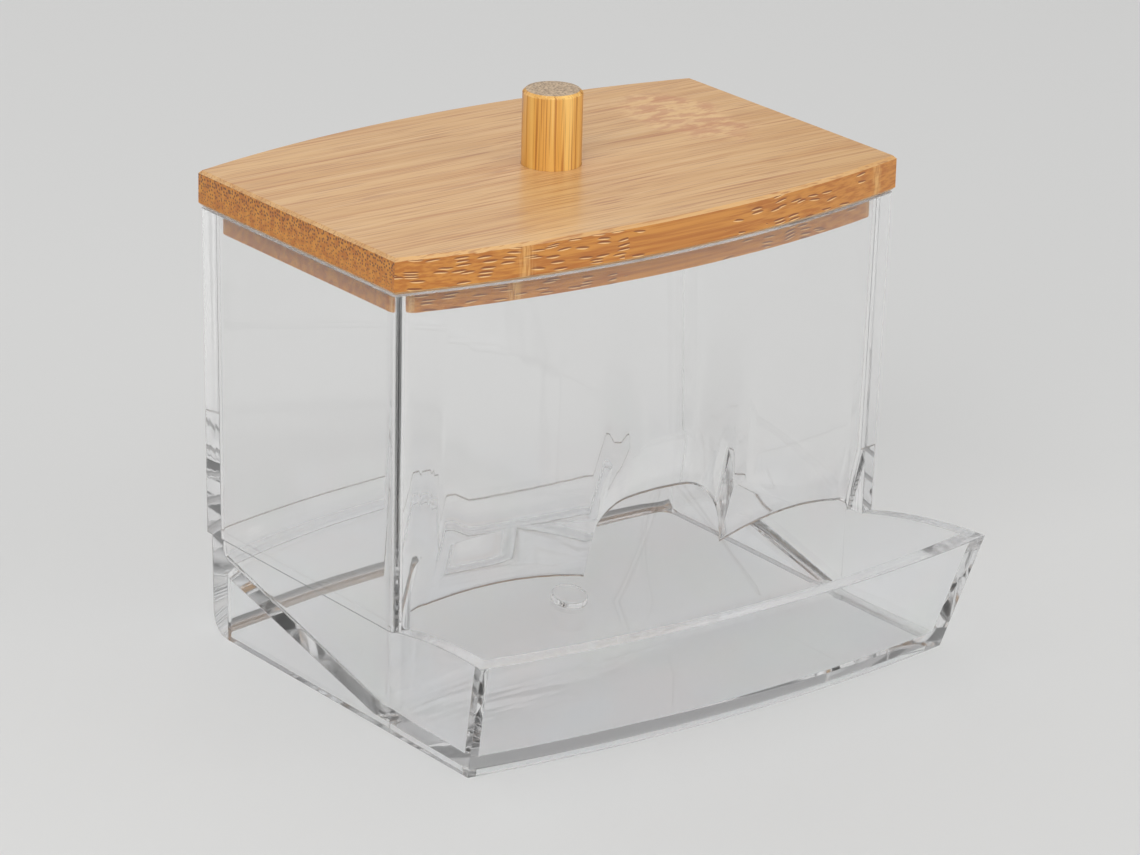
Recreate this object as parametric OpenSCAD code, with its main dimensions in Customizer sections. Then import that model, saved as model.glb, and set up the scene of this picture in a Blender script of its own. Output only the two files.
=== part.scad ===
// Cotton swab holder. A clear moulded box has a sloped floor, a dispensing slot with a
// finger arch and a tray in front. A bamboo lid with a dowel knob closes it.
// Millimetres, +Z up, the tray is on the -Y side. The origin is on the resting plane,
// under the middle of the whole outline.

/* [Lid board] */
// Width of the lid board along X
lid_w = 100; // [84:1:140]
// Depth of the lid board at its two side edges
lid_d = 54.3; // [46:0.1:80]
// Sagitta of the bowed front and back edges
edge_bow = 6.5; // [3:0.1:9]
// Thickness of the lid board
board_t = 5.9; // [4.5:0.1:9]
// Eased edge of the board, as a small chamfer
board_ease = 0.5; // [0.2:0.1:1]

/* [Lid plug] */
// Height of the plug milled under the board
plug_h = 4; // [2:0.5:8]
// Gap between the plug and the box walls
plug_gap = 0.5; // [0.3:0.1:1]
// Gap left between the board and the box rim
seat_gap = 0.3; // [0:0.05:0.5]
// Radius of the plug's corners
plug_corner_r = 2.5; // [1:0.5:5]

/* [Knob] */
// Diameter of the dowel knob
knob_d = 9.8; // [7:0.2:14]
// Height of the knob above the board
knob_h = 12.4; // [8:0.2:20]
// Depth of the blind socket that the dowel is glued into
socket_depth = 4; // [2:0.2:4]
// Glue gap round the dowel
glue_gap = 0.05; // [0.02:0.01:0.15]
// Chamfer round the knob's top
knob_ease = 0.5; // [0.2:0.1:1.2]

/* [Box] */
// Height of the box rim above the resting plane
box_h = 73.2; // [60:0.2:110]
// Thickness of the box walls
wall_t = 3; // [2:0.1:3.6]
// How far the lid stands out past the box rim
lid_overhang = 0.25; // [0.1:0.05:1.5]
// Draft of the walls from vertical, in degrees
wall_draft = 0.7; // [0.3:0.05:1.2]
// Radius of the outer upright corners
outer_corner_r = 0.8; // [0.4:0.1:1.2]
// Radius of the inner upright corners
inner_corner_r = 2; // [1:0.25:4]

/* [Parting line] */
// Height of the parting line round the box
parting_z = 17.7; // [16:0.1:18.5]
// How far the walls below the parting line are set back
parting_step = 0.6; // [0.2:0.1:0.9]
// Draft of the walls below the parting line, in degrees
base_draft = 1; // [0.5:0.1:2.5]
// Radius of the bottom edge under the back wall
back_edge_r = 3.5; // [1:0.5:5]

/* [Floor] */
// Height of the foot rim below the tray floor
foot_h = 1; // [0.6:0.1:2]
// Thickness of the floor and the ramp
floor_t = 2.6; // [1.8:0.1:3.2]
// Slope of the ramp in degrees
ramp_slope = 12.7; // [6:0.1:13]
// Length of level floor behind the dispensing slot
level_run = 4; // [1:0.5:10]
// Diameter of the gate boss on the ramp
gate_d = 6; // [4:0.5:9]
// Height of the gate boss
gate_h = 1; // [0.5:0.1:2]
// Distance of the gate boss behind the dispensing slot
gate_run = 15.6; // [10:0.2:22]

/* [Dispensing slot] */
// Height of the slot's upper edge, measured on the inside of the front wall
slot_z = 20.4; // [19:0.1:26]
// Radius of the slot's upper corners
slot_corner_r = 4.5; // [2:0.5:6]
// Width of the finger arch
arch_w = 27; // [20:1:40]
// Rise of the finger arch above the slot's upper edge
arch_rise = 11.5; // [10:0.5:20]
// Radius of the arch's shoulders
arch_r = 9; // [4:0.5:9.5]
// Rise of the raked cut through the wall, from its inner to its outer edge
rake_rise = 10; // [4:0.5:14]

/* [Tray] */
// How far the tray's rim corners stand out in front of the box corners
tray_reach = 26.1; // [18:0.1:45]
// How far the tray's foot corners stand out in front of the box corners
foot_reach = 19.6; // [14:0.1:38]
// Height of the tray rim at its front
rim_z = 21; // [19:0.1:24]
// Width of the tray across its rim corners
rim_w = 101.8; // [98:0.1:104]
// Sagitta of the tray's bowed front rim
rim_bow = 5; // [2:0.1:8]
// Sagitta of the tray's bowed front foot
foot_bow = 4; // [2:0.1:8]
// Thickness of the tray's walls
tray_wall_t = 2.8; // [2:0.1:3.5]

/* [Hidden] */
$fn = 48;

clear_color = [0.86, 0.91, 0.93, 0.45];
bamboo_color = [0.84, 0.64, 0.38];
bamboo_end_color = [0.86, 0.69, 0.42];

// A slab this thin stands for one level of a drafted form
level_t = 0.1;
// Cutting forms run this far past the faces that they cut
past = 1;
// Facets of a full circle where a large radius is cut
fine_facets = 360;
// Steps along each bowed edge
bow_steps = 24;
// Steps round each upright corner
corner_steps = 6;
// Steps round each shoulder of the slot and the arch
shoulder_steps = 8;

bow_r = (pow(lid_w / 2, 2) + pow(edge_bow, 2)) / (2 * edge_bow);
bow_y = bow_r - lid_d / 2 - edge_bow;
board_z = box_h + seat_gap;
lid_top_z = board_z + board_t;

// Insets are measured inwards from the lid's outline
function outer_inset(z) = lid_overhang + (box_h - z) * tan(wall_draft);
function inner_inset(z) = outer_inset(z) + wall_t;
function base_inset(z) = outer_inset(parting_z) + parting_step + (parting_z - z) * tan(base_draft);

root_y = -lid_d / 2 + outer_inset(parting_z);
slot_y = root_y + wall_t;
ramp_y = slot_y + level_run;
floor_z = foot_h + floor_t;
reach = max(lid_d / 2 + edge_bow, box_h) * 3;

// The whole holder is shifted so that the origin is under the middle of its outline
back_y = lid_d / 2 + edge_bow;
front_y = root_y - tray_reach - rim_bow;
center_shift = -(back_y + front_y) / 2;

// Half width and front corner of the tray's outer face at height z
function foot_half_w() = lid_w / 2 - base_inset(0);
function root_half_w(z) = lid_w / 2 - base_inset(z);
function tray_half_w(z) = foot_half_w() + (rim_w / 2 - foot_half_w()) * z / rim_z;
function tray_corner_y(z) = root_y - foot_reach - (tray_reach - foot_reach) * z / rim_z;
function tray_bow(z) = foot_bow + (rim_bow - foot_bow) * z / rim_z;

// Points of an arc bowed by sag towards -Y, from the corner at -half_w to the one at half_w
function bowed_edge(half_w, corner_y, sag) =
    let (r = (half_w * half_w + sag * sag) / (2 * sag), a = asin(half_w / r))
    [for (i = [0 : bow_steps])
        let (t = -a + 2 * a * i / bow_steps)
        [r * sin(t), corner_y - sag + r * (1 - cos(t))]];

// Points of a shoulder round [x, z], clockwise from from_a to to_a
function shoulder(x, z, r, from_a, to_a) =
    [for (i = [0 : shoulder_steps])
        let (a = from_a + (to_a - from_a) * i / shoulder_steps)
        [x + r * cos(a), z + r * sin(a)]];

// Points of the bowed back edge with both its rounded corners, from +X to -X. The back
// arc is drawn round [0, arc_y] and every outline keeps the same number of points.
function bowed_back(inset, corner_r, arc_y) =
    let (x = lid_w / 2 - inset - corner_r,
         r = bow_r - inset,
         lean = asin(x / (r - corner_r)),
         y = arc_y + (r - corner_r) * cos(lean))
    concat(
        [for (i = [0 : corner_steps])
            let (t = (90 - lean) * i / corner_steps)
            [x + corner_r * cos(t), y + corner_r * sin(t)]],
        [for (i = [1 : bow_steps - 1])
            let (t = lean - 2 * lean * i / bow_steps)
            [r * sin(t), arc_y + r * cos(t)]],
        [for (i = [0 : corner_steps])
            let (t = 90 + lean + (90 - lean) * i / corner_steps)
            [-x + corner_r * cos(t), y + corner_r * sin(t)]]);

// The lid's outline, set in by inset, with its corners rounded
module bowed_outline(inset, corner_r) {
    back = bowed_back(inset, corner_r, -bow_y);
    polygon(concat(back, [for (p = back) [-p[0], -p[1]]]));
}

// The outline below the parting line: bowed at the back, straight where the tray joins
module base_outline(inset, straight_y, back_cut, corner_r) {
    half_w = lid_w / 2 - inset;
    polygon(concat(
        bowed_back(inset, corner_r, -bow_y - back_cut),
        [[-half_w, straight_y], [half_w, straight_y]]));
}

// The tray's outline at height z, set in by inset, starting at root_line
module tray_outline(z, inset, root_line) {
    root_w = root_half_w(z) - inset;
    half_w = tray_half_w(z) - inset;
    polygon(concat(
        [[root_w, root_line], [-root_w, root_line]],
        bowed_edge(half_w, tray_corner_y(z) + inset, tray_bow(z))));
}

module slab(z) {
    translate([0, 0, z])
        linear_extrude(level_t)
            children();
}

// A profile drawn in Y and Z, run across the whole width
module across(profile) {
    rotate([90, 0, 90])
        linear_extrude(reach, center = true)
            polygon(profile);
}

module box_outside() {
    hull() {
        slab(parting_z)
            bowed_outline(outer_inset(parting_z), outer_corner_r);
        slab(box_h - level_t)
            bowed_outline(outer_inset(box_h), outer_corner_r);
    }
}

module box_inside() {
    hull() {
        slab(0)
            bowed_outline(inner_inset(0), inner_corner_r);
        slab(box_h + past)
            bowed_outline(inner_inset(box_h + past), inner_corner_r);
    }
}

// Box walls below the parting line, with the back edge of the foot rounded
module base_outside() {
    hull() {
        for (a = [0 : 22.5 : 90])
            slab(back_edge_r * (1 - cos(a)))
                base_outline(base_inset(back_edge_r * (1 - cos(a))), root_y,
                             back_edge_r * (1 - sin(a)), outer_corner_r);
        slab(parting_z - level_t)
            base_outline(base_inset(parting_z), root_y, 0, outer_corner_r);
    }
}

module tray_outside() {
    hull() {
        slab(0)
            tray_outline(0, 0, root_y);
        slab(rim_z - level_t)
            tray_outline(rim_z, 0, root_y);
    }
}

module tray_inside() {
    hull() {
        slab(floor_z - floor_t / 2)
            tray_outline(floor_z - floor_t / 2, tray_wall_t, slot_y + inner_corner_r);
        slab(rim_z + past)
            tray_outline(rim_z + past, tray_wall_t, slot_y + inner_corner_r);
    }
}

// Everything above the tray's curved side rims, in front of the box
module above_rim() {
    rise = rim_z - parting_z;
    rim_r = (tray_reach * tray_reach + rise * rise) / (2 * rise);
    difference() {
        across([[root_y, parting_z - level_t], [root_y, rim_z + past],
                [root_y - tray_reach, rim_z + past], [root_y - tray_reach, parting_z - level_t]]);
        translate([0, root_y - tray_reach, rim_z - rim_r])
            rotate([0, 90, 0])
                cylinder(h = reach + past, r = rim_r, center = true, $fn = fine_facets);
    }
}

// Everything above the floor's top face: level in the tray, sloped under the box
module above_floor() {
    far_z = floor_z + (reach - ramp_y) * tan(ramp_slope);
    across([[-reach, floor_z], [ramp_y, floor_z], [reach, far_z],
            [reach, reach], [-reach, reach]]);
}

// Everything below the floor's underside
module below_floor() {
    under_y = ramp_y + floor_t * tan(ramp_slope / 2);
    far_z = foot_h + (reach - under_y) * tan(ramp_slope);
    across([[-reach, -past], [-reach, foot_h], [under_y, foot_h],
            [reach, far_z], [reach, -past]]);
}

// The hollow below the floor, open at the resting plane
module foot_hollow() {
    intersection() {
        union() {
            translate([0, 0, -past])
                linear_extrude(parting_z + past)
                    base_outline(base_inset(0) + wall_t, slot_y, 0, inner_corner_r);
            translate([0, 0, -past])
                linear_extrude(foot_h + past)
                    tray_outline(0, tray_wall_t, slot_y);
        }
        below_floor();
    }
}

// Upper border of the dispensing slot, drawn on the inside of the front wall
function slot_border() =
    let (half_w = lid_w / 2 - inner_inset(slot_z),
         arch_top = slot_z + arch_rise,
         lead = 0.3)
    concat(
        shoulder(-half_w + slot_corner_r, slot_z - slot_corner_r, slot_corner_r, 180, 90),
        [[-arch_w / 2 - lead, slot_z]],
        shoulder(-arch_w / 2 + arch_r, arch_top - arch_r, arch_r, 180, 90),
        shoulder(arch_w / 2 - arch_r, arch_top - arch_r, arch_r, 90, 0),
        [[arch_w / 2 + lead, slot_z]],
        shoulder(half_w - slot_corner_r, slot_z - slot_corner_r, slot_corner_r, 90, 0));

function front_wall_y(x, inset) = bow_y - sqrt(pow(bow_r - inset, 2) - x * x);

// The raked cut under the front wall. Its border climbs from the wall's inner face to its
// outer face, because the moulding core of the tray draws out forwards.
module slot_cut() {
    border = slot_border();
    count = len(border);
    inside = inner_inset(slot_z) + past;
    outside = outer_inset(slot_z) - past;
    extra = past * rake_rise / wall_t;
    points = [for (b = border) each [
        [b[0], front_wall_y(b[0], inside), 0],
        [b[0], front_wall_y(b[0], inside), b[1] - extra],
        [b[0], front_wall_y(b[0], outside), b[1] + rake_rise + extra],
        [b[0], front_wall_y(b[0], outside), 0]]];
    sides = [for (i = [0 : count - 2], k = [0 : 3])
        let (a = 4 * i + k, b = 4 * i + (k + 1) % 4)
        each [[a, a + 4, b], [b, a + 4, b + 4]]];
    last = 4 * (count - 1);
    polyhedron(points, concat([[0, 1, 2, 3]], sides, [[last + 3, last + 2, last + 1, last]]),
               convexity = 6);
}

module gate_boss() {
    gate_y = slot_y + gate_run;
    gate_z = floor_z + (gate_y - ramp_y) * tan(ramp_slope);
    translate([0, gate_y, gate_z])
        rotate([ramp_slope, 0, 0])
            translate([0, 0, -gate_h])
                cylinder(h = 2 * gate_h, d = gate_d);
}

// Box walls above the parting line, with the dispensing slot cut under the front wall
module box_walls() {
    difference() {
        box_outside();
        box_inside();
        slot_cut();
    }
}

// Foot, ramp and tray below the parting line
module base_and_tray() {
    difference() {
        union() {
            base_outside();
            difference() {
                tray_outside();
                above_rim();
            }
        }
        intersection() {
            union() {
                box_inside();
                tray_inside();
            }
            above_floor();
        }
        foot_hollow();
    }
}

// One clear moulding
module holder_body() {
    color(clear_color)
        translate([0, center_shift, 0]) {
            box_walls();
            base_and_tray();
            gate_boss();
        }
}

// A disc with both edges eased, bowed like the board's front and back edges
module eased_disc() {
    rotate_extrude($fn = fine_facets)
        polygon([[0, 0], [bow_r - board_ease, 0], [bow_r, board_ease],
                 [bow_r, board_t - board_ease], [bow_r - board_ease, board_t], [0, board_t]]);
}

// A bar with all four long edges eased, as wide as the board and run along Y
module eased_bar() {
    half_w = lid_w / 2;
    rotate([90, 0, 0])
        linear_extrude(reach, center = true)
            polygon([[-half_w + board_ease, 0], [half_w - board_ease, 0],
                     [half_w, board_ease], [half_w, board_t - board_ease],
                     [half_w - board_ease, board_t], [-half_w + board_ease, board_t],
                     [-half_w, board_t - board_ease], [-half_w, board_ease]]);
}

// Bamboo board with the plug milled on its underside and a blind socket for the knob
module lid_board() {
    plug_inset = inner_inset(board_z - plug_h) + plug_gap;
    color(bamboo_color)
        translate([0, center_shift, board_z])
            difference() {
                union() {
                    intersection() {
                        translate([0, bow_y, 0])
                            eased_disc();
                        translate([0, -bow_y, 0])
                            eased_disc();
                        eased_bar();
                    }
                    translate([0, 0, -plug_h])
                        linear_extrude(plug_h + board_ease)
                            bowed_outline(plug_inset, plug_corner_r);
                }
                translate([0, 0, board_t - socket_depth])
                    cylinder(h = socket_depth + past, d = knob_d + 2 * glue_gap);
            }
}

// Bamboo dowel, glued into the socket
module lid_knob() {
    shaft_h = socket_depth + knob_h - knob_ease;
    color(bamboo_end_color)
        translate([0, center_shift, lid_top_z - socket_depth]) {
            cylinder(h = shaft_h, d = knob_d);
            translate([0, 0, shaft_h])
                cylinder(h = knob_ease, d1 = knob_d, d2 = knob_d - 2 * knob_ease);
        }
}

holder_body();
lid_board();
lid_knob();
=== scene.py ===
import math

import bmesh
import bpy
from mathutils import Matrix, Vector


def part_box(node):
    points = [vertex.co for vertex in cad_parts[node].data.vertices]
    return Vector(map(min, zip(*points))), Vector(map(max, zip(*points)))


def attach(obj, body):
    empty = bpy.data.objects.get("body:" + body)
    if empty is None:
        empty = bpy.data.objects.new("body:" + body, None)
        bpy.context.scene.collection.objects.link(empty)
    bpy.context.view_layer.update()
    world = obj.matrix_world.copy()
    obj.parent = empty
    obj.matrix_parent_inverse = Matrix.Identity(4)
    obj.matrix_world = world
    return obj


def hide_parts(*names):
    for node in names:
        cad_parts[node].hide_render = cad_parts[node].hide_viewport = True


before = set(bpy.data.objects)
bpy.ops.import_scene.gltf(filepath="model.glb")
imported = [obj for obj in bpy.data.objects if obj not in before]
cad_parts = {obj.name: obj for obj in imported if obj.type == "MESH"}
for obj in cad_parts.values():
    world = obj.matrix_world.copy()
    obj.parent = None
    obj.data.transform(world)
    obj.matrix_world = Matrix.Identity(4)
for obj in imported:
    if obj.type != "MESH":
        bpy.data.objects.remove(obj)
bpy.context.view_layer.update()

MM = 0.001

# The lid's box gives the middle of the lid, which the walls under it share
LID_LO, LID_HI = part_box("lid_board")
LID_Y = (LID_LO.y + LID_HI.y) / 2

# The arc that the walls and the lid's long edges follow
EDGE_BOW = 6.5 * MM
BOW_R = (((LID_HI.x - LID_LO.x) / 2) ** 2 + EDGE_BOW ** 2) / (2 * EDGE_BOW)
BOW_Y = BOW_R - (LID_HI.y - LID_LO.y) / 2

# The moulding: height and draft of its walls, slope of its floor
BOX_TOP = 73.2 * MM
MOUTH_INSET = 0.25 * MM
WALL_DRAFT_DEG = 0.7
RAMP_DEG = 12.7
FILLET = 1.6 * MM

# Finishes of the moulding's faces
POLISHED, RIM, CUT = range(3)


# Camera
def make_camera():
    """The photograph's viewing angle: azimuth, elevation and roll in degrees, lengths in metres."""
    azimuth, elevation, roll = math.radians(37.54), math.radians(20.0), math.radians(1.47)
    distance, focal_px, frame_px = 0.8299, 5032.4, 1140
    target = Vector((0.0052, LID_Y, 0.03292))
    back = Vector((-math.sin(azimuth) * math.cos(elevation),
                   -math.cos(azimuth) * math.cos(elevation),
                   math.sin(elevation)))
    right = Vector((math.cos(azimuth), -math.sin(azimuth), 0))
    up = back.cross(right)
    c, s = math.cos(roll), math.sin(roll)
    axes = (c * right + s * up, -s * right + c * up, back)
    data = bpy.data.cameras.new("camera")
    data.sensor_width = 36
    data.lens = focal_px / frame_px * data.sensor_width
    data.clip_start, data.clip_end = 0.01, 20
    cam = bpy.data.objects.new("camera", data)
    bpy.context.scene.collection.objects.link(cam)
    matrix = Matrix([[axes[col][row] for col in range(3)] for row in range(3)]).to_4x4()
    matrix.translation = target + back * distance
    cam.matrix_world = matrix
    bpy.context.scene.camera = cam


# Node helpers
class Nodes:
    """Short calls that add nodes to one tree. A value may be a number, a colour or a socket."""

    def __init__(self, tree):
        self.tree = tree

    def add(self, kind, inputs=None, out=0, **props):
        node = self.tree.nodes.new("ShaderNode" + kind)
        for key, value in props.items():
            setattr(node, key, value)
        for key, value in (inputs or {}).items():
            self.put(node.inputs[key], value)
        return node.outputs[out] if node.outputs else node

    def put(self, socket, value):
        if isinstance(value, bpy.types.NodeSocket):
            self.tree.links.new(value, socket)
        elif hasattr(socket.default_value, "__len__") and hasattr(value, "__len__"):
            n = len(socket.default_value)
            socket.default_value = (tuple(value) + (1.0,))[:n]
        else:
            socket.default_value = value

    def place(self, coordinate):
        """Texture coordinates by their name, such as Object or Normal."""
        return self.add("TexCoord", out=coordinate)

    def math(self, op, a, b=0.0, c=0.0):
        return self.add("Math", {0: a, 1: b, 2: c}, operation=op)

    def times(self, first, *rest):
        result = first
        for value in rest:
            result = self.math("MULTIPLY", result, value)
        return result

    def vmath(self, op, a, b):
        return self.add("VectorMath", {0: a, 1: b}, operation=op)

    def scaled(self, vector, scale):
        return self.vmath("MULTIPLY", vector, scale)

    def split(self, vector):
        node = self.tree.nodes.new("ShaderNodeSeparateXYZ")
        self.put(node.inputs[0], vector)
        return node.outputs[0], node.outputs[1], node.outputs[2]

    def join(self, x, y):
        return self.add("CombineXYZ", {0: x, 1: y, 2: 0.0})

    def range(self, value, lo, hi, to_lo=0.0, to_hi=1.0):
        """A smooth step: to_lo where the value is lo, to_hi where it is hi."""
        return self.add("MapRange", {"Value": value, "From Min": lo, "From Max": hi,
                                     "To Min": to_lo, "To Max": to_hi},
                        interpolation_type="SMOOTHSTEP")

    def near(self, value, centre, half_width):
        """One at the centre, smoothly down to zero at half_width from it."""
        away = self.math("ABSOLUTE", self.math("SUBTRACT", value, centre))
        return self.range(away, half_width, 0.0)

    def mix(self, factor, a, b):
        return self.add("Mix", {"Factor": factor, "A": a, "B": b}, out=2, data_type="RGBA")

    def noise(self, vector, scale, detail=2.0, rough=0.5, out="Fac"):
        return self.add("TexNoise", {"Vector": vector, "Scale": scale, "Detail": detail,
                                     "Roughness": rough}, out=out)

    def grain(self, vector, scales, detail=2.0, rough=0.5):
        """Noise stretched by a scale for each axis."""
        return self.noise(self.scaled(vector, scales), 1.0, detail, rough)

    def shift(self, vector, scale, detail, reach):
        """A small random offset with a reach for each axis."""
        noise = self.noise(vector, scale, detail, out="Color")
        return self.scaled(self.vmath("SUBTRACT", noise, (0.5, 0.5, 0.5)), reach)

    def cells(self, vector, randomness):
        """Flat cells one unit wide: distance to the nearest seed, a random number, the seed."""
        node = self.tree.nodes.new("ShaderNodeTexVoronoi")
        node.voronoi_dimensions = "2D"
        self.put(node.inputs["Vector"], vector)
        self.put(node.inputs["Scale"], 1.0)
        self.put(node.inputs["Randomness"], randomness)
        chance = self.split(node.outputs["Color"])[0]
        return node.outputs["Distance"], chance, node.outputs["Position"]

    def lacquered(self, colour, height, bump_strength, bump_depth, rough):
        """Wood under a thin satin lacquer."""
        bump = self.add("Bump", {"Strength": bump_strength, "Distance": bump_depth,
                                 "Height": height})
        return self.add("BsdfPrincipled", {
            "Base Color": colour, "Roughness": rough, "Coat Weight": 0.3,
            "Coat Roughness": 0.2, "Coat IOR": 1.5, "Normal": bump})

    def finish(self, kind, shader):
        """The tree's output, of kind Material or World."""
        self.add("Output" + kind)
        self.tree.links.new(shader, self.tree.nodes[kind + " Output"].inputs["Surface"])


def srgb(r, g, b):
    """A colour written as 0 to 255 on screen, in linear light."""
    return tuple(((v / 255 + 0.055) / 1.055) ** 2.4 if v > 10 else v / 255 / 12.92
                 for v in (r, g, b)) + (1.0,)


def new_material(name):
    material = bpy.data.materials.new(name)
    material.use_nodes = True
    material.node_tree.nodes.clear()
    return material, Nodes(material.node_tree)


# Clear plastic
def clear_material(name, rough_lo, rough_hi, streaks, milk):
    """Clear styrene, faintly wavy. Rims and cut faces are rougher, streaked and a little milky."""
    material, k = new_material(name)
    place = k.place("Object")
    waves = k.noise(place, 26, 1.0)
    fine = k.noise(k.scaled(place, (1, 1, 0.12)), 1500, 2.0)
    height = k.math("MULTIPLY_ADD", fine, streaks, waves)
    eased = k.add("Bevel", {"Radius": 0.25 * MM}, samples=4)
    bump = k.add("Bump", {"Strength": 0.1, "Distance": 0.6 * MM, "Height": height,
                          "Normal": eased})
    rough = k.range(k.noise(place, 60, 3.0), 0.35, 0.75, rough_lo, rough_hi)
    cloudy = k.range(fine, 0.35, 0.65, 0.4 * milk, milk)
    # The base colour holds painted stress colours, which clear plastic shows only in polarised light
    glass = k.add("BsdfPrincipled", {
        "Base Color": painted_stress_colours(k, place), "Roughness": rough, "IOR": 1.59,
        "Transmission Weight": k.math("SUBTRACT", 1.0, cloudy), "Normal": bump})

    # A clear wall lets nearly all light through, so its shadow is faint
    shade = k.add("BsdfTransparent", {"Color": srgb(248, 249, 250)})
    in_shadow = k.add("LightPath", out="Is Shadow Ray")
    k.finish("Material", k.add("MixShader", {0: in_shadow, 1: glass, 2: shade}))
    return material


def painted_stress_colours(k, place):
    """Painted stress colours of polarised light: very pale pink, green and blue patches in the thick
    parts near the floor.
    """
    pink_or_green = k.range(k.noise(place, 55, 1.0), 0.42, 0.58)
    elsewhere = k.vmath("ADD", place, (0.3, 0.1, 0.2))
    blue = k.range(k.noise(elsewhere, 70, 1.0), 0.45, 0.6)
    tint = k.mix(pink_or_green, srgb(254, 252, 253), srgb(252, 254, 253))
    tint = k.mix(blue, tint, srgb(252, 253, 255))
    low = k.range(k.split(place)[2], 30 * MM, 18 * MM)
    return k.mix(k.times(low, 0.6), srgb(254, 254, 254), tint)


# Bamboo
def board_material():
    """The lid's bamboo: fine lines on top, pores on the ends, short grooves on the bowed edges."""
    material, k = new_material("bamboo_look")
    place = k.place("Object")
    drift = k.shift(k.scaled(place, (14, 30, 30)), 1.0, 2.0, (0.0, 2.2 * MM, 2.2 * MM))
    flow = k.vmath("ADD", place, drift)
    x, y, z = k.split(flow)
    facing_x, facing_y, facing_z = k.split(k.place("Normal"))
    on_top = k.range(facing_z, 0.6, 0.8)
    on_end = k.range(k.math("ABSOLUTE", facing_x), 0.8, 0.9)
    on_edge = k.range(k.math("ABSOLUTE", facing_y), 0.8, 0.9)

    lines = k.grain(flow, (26, 1800, 1800), rough=0.6)
    hairs = k.grain(flow, (70, 3600, 3600), 1.0)
    colour = fibres(k, flow, lines, hairs)
    colour = top_node(k, place, on_top, colour)
    colour, pores = end_pores(k, place, y, z, on_end, colour)
    colour, grooves = edge_grooves(k, place, x, z, lines, on_edge, colour)
    colour = edge_nodes(k, place, x, on_edge, colour)

    height = k.math("MULTIPLY_ADD", lines, 0.25, k.times(hairs, 0.15))
    cuts = k.math("ADD", k.times(grooves, 0.6), k.times(pores, 0.5))
    rough = k.range(lines, 0.3, 0.8, 0.36, 0.5)
    k.finish("Material", k.lacquered(colour, k.math("SUBTRACT", height, cuts), 0.35, 0.12 * MM, rough))
    return material


def fibres(k, flow, lines, hairs):
    """Broad bands along X with pale and dark lines and thin dark hairs in them."""
    bands = k.grain(flow, (7, 240, 240))
    colour = k.mix(k.range(bands, 0.35, 0.65), srgb(219, 174, 116), srgb(209, 160, 100))
    colour = k.mix(k.times(k.range(lines, 0.53, 0.66), 0.52), colour, srgb(180, 116, 68))
    colour = k.mix(k.times(k.range(lines, 0.42, 0.3), 0.35), colour, srgb(228, 188, 138))
    return k.mix(k.times(k.range(hairs, 0.54, 0.66), 0.5), colour, srgb(164, 102, 60))


def top_node(k, place, on_top, colour):
    """The growth node on the top, mottled pink and yellow."""
    node_x, node_y = 34 * MM, 21 * MM
    half_length, half_width = 13 * MM, 20 * MM
    spots = k.grain(place, (260, 620, 620), 3.0, 0.6)
    ragged = k.vmath("ADD", place, k.shift(place, 90, 2.0, (16 * MM, 20 * MM, 0.0)))
    x, y, _ = k.split(ragged)
    zone = k.times(k.near(x, node_x, half_length), k.near(y, node_y, half_width), on_top)
    mottle = k.mix(k.range(spots, 0.42, 0.6), srgb(200, 138, 92), srgb(231, 188, 128))
    return k.mix(k.times(k.range(zone, 0.05, 0.4), 0.7), colour, mottle)


def end_pores(k, place, y, z, on_end, colour):
    """Ochre ends with cut pores, closer and darker towards the top. Also gives the pores."""
    pores_per_metre = 1550.0
    rise = k.range(z, 72.5 * MM, 79.5 * MM)
    pore, _, _ = k.cells(k.join(k.times(y, pores_per_metre), k.times(z, pores_per_metre)), 0.75)
    rim = k.math("MULTIPLY_ADD", rise, 0.16, 0.14)
    pores = k.times(k.range(k.math("SUBTRACT", pore, rim), 0.1, -0.06), on_end)
    ochre = k.mix(k.range(k.noise(place, 700, 3.0), 0.35, 0.65),
                  srgb(186, 110, 30), srgb(210, 139, 46))
    colour = k.mix(on_end, colour, ochre)
    depth = k.math("MULTIPLY_ADD", rise, 0.3, 0.6)
    return k.mix(k.times(pores, depth), colour, srgb(98, 56, 24)), pores


def edge_grooves(k, place, x, z, lines, on_edge, colour):
    """Golden bowed edges with short dark grooves, a painted highlight under each. Also gives the
    grooves.
    """
    grooves_per_metre, rows_per_metre = 250.0, 1350.0
    golden = k.mix(k.range(lines, 0.35, 0.65), srgb(202, 132, 44), srgb(178, 104, 26))
    colour = k.mix(k.times(on_edge, 0.9), colour, golden)
    bent_z = k.math("MULTIPLY_ADD", k.grain(place, (130, 200, 200), 1.0), 1.6 * MM, z)
    at = k.join(k.times(x, grooves_per_metre), k.times(bent_z, rows_per_metre))
    groove, chance, seed = k.cells(at, 0.9)
    # The lower lip of each groove, where a highlight is painted
    painted_highlight_lip = k.range(k.math("SUBTRACT", k.split(at)[1], k.split(seed)[1]), -0.06, -0.16)
    above = k.math("SUBTRACT", 1.0, painted_highlight_lip)

    # Grooves are common on the left and again right of the middle
    on_left = k.times(k.range(x, -5 * MM, -14 * MM), 0.68)
    on_right = k.times(k.near(x, 28 * MM, 24 * MM), 0.55)
    kept = k.math("LESS_THAN", chance, k.math("ADD", on_left, on_right))
    grooves = k.times(k.range(groove, 0.38, 0.24), kept, on_edge)
    colour = k.mix(k.times(grooves, above, 0.85), colour, srgb(126, 66, 26))
    # A painted highlight along the lower lip of each groove
    return k.mix(k.times(grooves, painted_highlight_lip, 0.85), colour, srgb(246, 208, 148)), grooves


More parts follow.
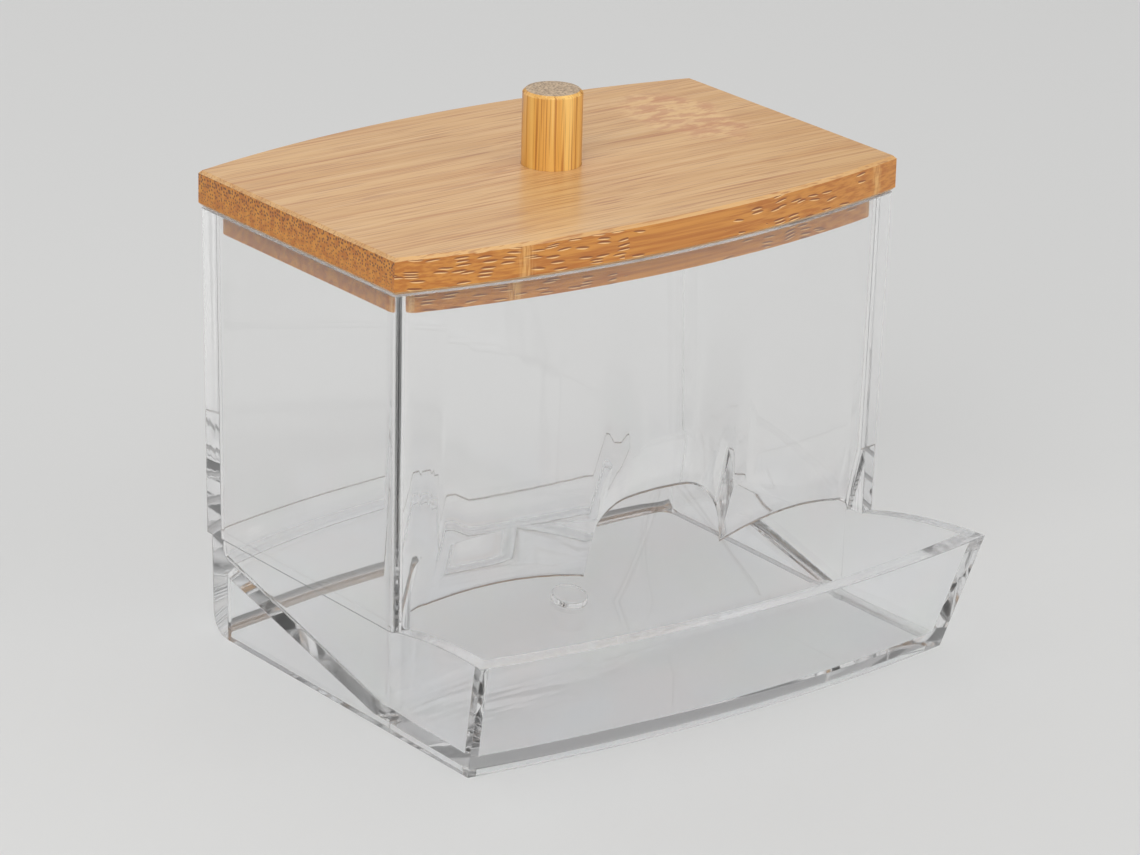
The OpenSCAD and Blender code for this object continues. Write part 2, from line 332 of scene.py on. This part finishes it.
def edge_nodes(k, place, x, on_edge, colour):
    """Where a growth node crosses the front edge, the light fibres stand upright."""
    upright = k.grain(place, (2600, 100, 260))
    sway = k.math("MULTIPLY_ADD", k.grain(place, (0, 0, 500), 1.0), 1.6 * MM, x)
    left, right = k.near(sway, -27.5 * MM, 1.9 * MM), k.near(sway, 45.6 * MM, 1.4 * MM)
    across = k.times(k.math("ADD", left, right), on_edge)
    fibre = k.mix(k.range(upright, 0.4, 0.6), srgb(184, 122, 58), srgb(232, 186, 116))
    return k.mix(k.times(across, 0.6), colour, fibre)


def dowel_material():
    """The knob's bamboo: upright amber stripes, and a speckled end grain on top."""
    material, k = new_material("bamboo_dowel_look")
    place = k.place("Object")
    x, y, _ = k.split(place)
    on_top = k.range(k.split(k.place("Normal"))[2], 0.8, 0.95)

    bands = k.grain(place, (420, 420, 8))
    lines = k.grain(place, (1500, 1500, 22), rough=0.6)
    hairs = k.grain(place, (3200, 3200, 60), 1.0)
    colour = k.mix(k.range(bands, 0.38, 0.6), srgb(244, 196, 108), srgb(230, 172, 84))
    colour = k.mix(k.times(k.range(lines, 0.52, 0.64), 0.75), colour, srgb(172, 106, 42))
    colour = k.mix(k.times(k.range(lines, 0.42, 0.32), 0.5), colour, srgb(248, 214, 146))
    colour = k.mix(k.times(k.range(hairs, 0.58, 0.7), 0.4), colour, srgb(140, 84, 34))

    specks_per_metre = 1900.0
    speck, chance, _ = k.cells(k.join(k.times(x, specks_per_metre), k.times(y, specks_per_metre)), 0.95)
    specks = k.times(k.range(speck, 0.42, 0.22), k.math("MULTIPLY_ADD", chance, 0.5, 0.4), on_top)
    end_grain = k.mix(k.range(k.noise(place, 900, 3.0), 0.35, 0.65),
                      srgb(174, 146, 112), srgb(200, 172, 136))
    colour = k.mix(on_top, colour, end_grain)
    colour = k.mix(specks, colour, srgb(112, 84, 54))

    height = k.math("SUBTRACT", k.times(lines, 0.4), k.times(specks, 0.5))
    rough = k.range(lines, 0.3, 0.8, 0.34, 0.48)
    k.finish("Material", k.lacquered(colour, height, 0.3, 0.1 * MM, rough))
    return material


# Stage
def floor_material():
    material, k = new_material("floor")
    k.finish("Material", k.add("BsdfPrincipled", {
        "Base Color": srgb(214, 214, 213), "Roughness": 0.6, "Specular IOR Level": 0.25}))
    return material


def make_floor():
    half, top = 3.0, -0.1 * MM
    mesh = bpy.data.meshes.new("floor")
    mesh.from_pydata([(-half, -half, top), (half, -half, top), (half, half, top),
                      (-half, half, top)], [], [(0, 1, 2, 3)])
    floor = bpy.data.objects.new("floor", mesh)
    bpy.context.scene.collection.objects.link(floor)
    mesh.materials.append(floor_material())


def make_world():
    """Bright overhead and dark at the horizon, which gives the clear edges their contrast."""
    world = bpy.data.worlds.new("world")
    bpy.context.scene.world = world
    world.use_nodes = True
    k = Nodes(world.node_tree)
    k.tree.nodes.clear()
    height = k.split(k.place("Generated"))[2]
    k.finish("World", k.add("Background", {"Color": srgb(238, 238, 238),
                                           "Strength": k.range(height, 0.1, 0.9, 0.13, 1.0)}))


def lamp(name, place, size, power):
    """A soft box aimed at the object. It isn't seen through the clear walls."""
    aim = Vector((0, 0, 0.04))
    data = bpy.data.lights.new(name, "AREA")
    data.shape = "RECTANGLE"
    data.size, data.size_y = size
    data.energy = power
    obj = bpy.data.objects.new(name, data)
    bpy.context.scene.collection.objects.link(obj)
    obj.location = place
    obj.rotation_mode = "QUATERNION"
    obj.rotation_quaternion = (aim - Vector(place)).to_track_quat("-Z", "Y")
    obj.visible_transmission = False


def make_lights():
    lamp("key", (-1.0, -0.75, 0.85), (1.2, 1.0), 11)
    lamp("fill", (0.75, -1.25, 0.5), (1.2, 0.8), 7)
    lamp("back", (0.3, 1.3, 0.9), (1.6, 0.8), 3)


# Moulding
def depth_in_wall(point):
    """How far a point lies inside the outer face of the bowed front wall."""
    inset = MOUTH_INSET + (BOX_TOP - point.z) * math.tan(math.radians(WALL_DRAFT_DEG))
    axis = Vector((0, LID_Y + BOW_Y, point.z))
    return BOW_R - inset - (point - axis).length


def finish_of(face):
    """RIM on the level tops of the rims, CUT on the sides of the finger arch, else POLISHED."""
    centre = face.calc_center_median()
    if face.normal.z > 0.9 and centre.z > 17.2 * MM:
        return RIM
    in_cut = (centre.y < 0 and 15 * MM < centre.z < 43 * MM
              and 0.3 * MM < depth_in_wall(centre) < 2.7 * MM)
    return CUT if in_cut and abs(face.normal.x) > 0.6 else POLISHED


def ramp_corners(bm):
    """The inner corners where the ramp meets the walls, without the gate mark's edge."""
    slope = math.radians(RAMP_DEG)
    ramp_normal = Vector((0, -math.sin(slope), math.cos(slope)))
    smallest = 100 * MM * MM
    ramp = {face for face in bm.faces
            if face.normal.dot(ramp_normal) > 0.9999 and face.calc_area() > smallest}
    corners = []
    for edge in bm.edges:
        if len(edge.link_faces) != 2 or edge.is_convex:
            continue
        walls = [face for face in edge.link_faces if face not in ramp]
        middle = (edge.verts[0].co + edge.verts[1].co) / 2
        at_gate = abs(middle.x) < 4 * MM and 0 < middle.y < 9 * MM
        if len(walls) == 1 and abs(walls[0].normal.z) < 0.2 and not at_gate:
            corners.append(edge)
    return corners


def fillet_ramp(bm):
    """A moulded radius in the ramp's inner corners."""
    ends = dict.fromkeys(vert for edge in ramp_corners(bm) for vert in edge.verts)
    bmesh.ops.remove_doubles(bm, verts=list(ends), dist=0.2 * MM)
    bm.normal_update()
    bmesh.ops.bevel(bm, geom=ramp_corners(bm), offset=FILLET, offset_type="OFFSET",
                    segments=4, profile=0.5, affect="EDGES", clamp_overlap=False)


def clear_body(finishes):
    """The moulding with its facets joined and its bowed walls and corners shaded smooth."""
    bm = bmesh.new()
    bm.from_mesh(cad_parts["holder_body"].data)
    bmesh.ops.remove_doubles(bm, verts=bm.verts, dist=0.001 * MM)
    bmesh.ops.dissolve_limit(bm, angle_limit=math.radians(0.05), verts=bm.verts, edges=bm.edges)
    fillet_ramp(bm)
    bmesh.ops.dissolve_degenerate(bm, dist=0.01 * MM, edges=bm.edges)
    for edge in bm.edges:
        edge.smooth = edge.calc_face_angle(0) < math.radians(24)
    for face in bm.faces:
        face.smooth = True
        face.material_index = finish_of(face)
    mesh = bpy.data.meshes.new("clear_body")
    for material in finishes:
        mesh.materials.append(material)
    bm.to_mesh(mesh)
    bm.free()
    if "custom_normal" in mesh.attributes:
        mesh.attributes.remove(mesh.attributes["custom_normal"])
    obj = bpy.data.objects.new("clear_body", mesh)
    bpy.context.scene.collection.objects.link(obj)
    weighted = obj.modifiers.new("normals", "WEIGHTED_NORMAL")
    weighted.keep_sharp = True
    weighted.weight = 100
    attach(obj, "holder")
    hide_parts("holder_body")


# Lid
def dress_lid():
    looks = {"lid_board": board_material(), "lid_knob": dowel_material()}
    for name, material in looks.items():
        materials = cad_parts[name].data.materials
        materials.clear()
        materials.append(material)


make_camera()
make_floor()
make_world()
make_lights()
clear_body([clear_material("clear_plastic_look", 0.01, 0.04, 0.004, 0.0),
            clear_material("clear_plastic_rim_look", 0.12, 0.25, 0.04, 0.25),
            clear_material("clear_plastic_cut_look", 0.2, 0.4, 0.15, 0.5)])
dress_lid()

scene = bpy.context.scene
scene.view_settings.view_transform = "Standard"
# A ray crosses many clear walls before it leaves the object
scene.cycles.max_bounces = 40
scene.cycles.transmission_bounces = 40
scene.cycles.glossy_bounces = 40
scene.cycles.transparent_max_bounces = 40

bpy.context.view_layer.update()
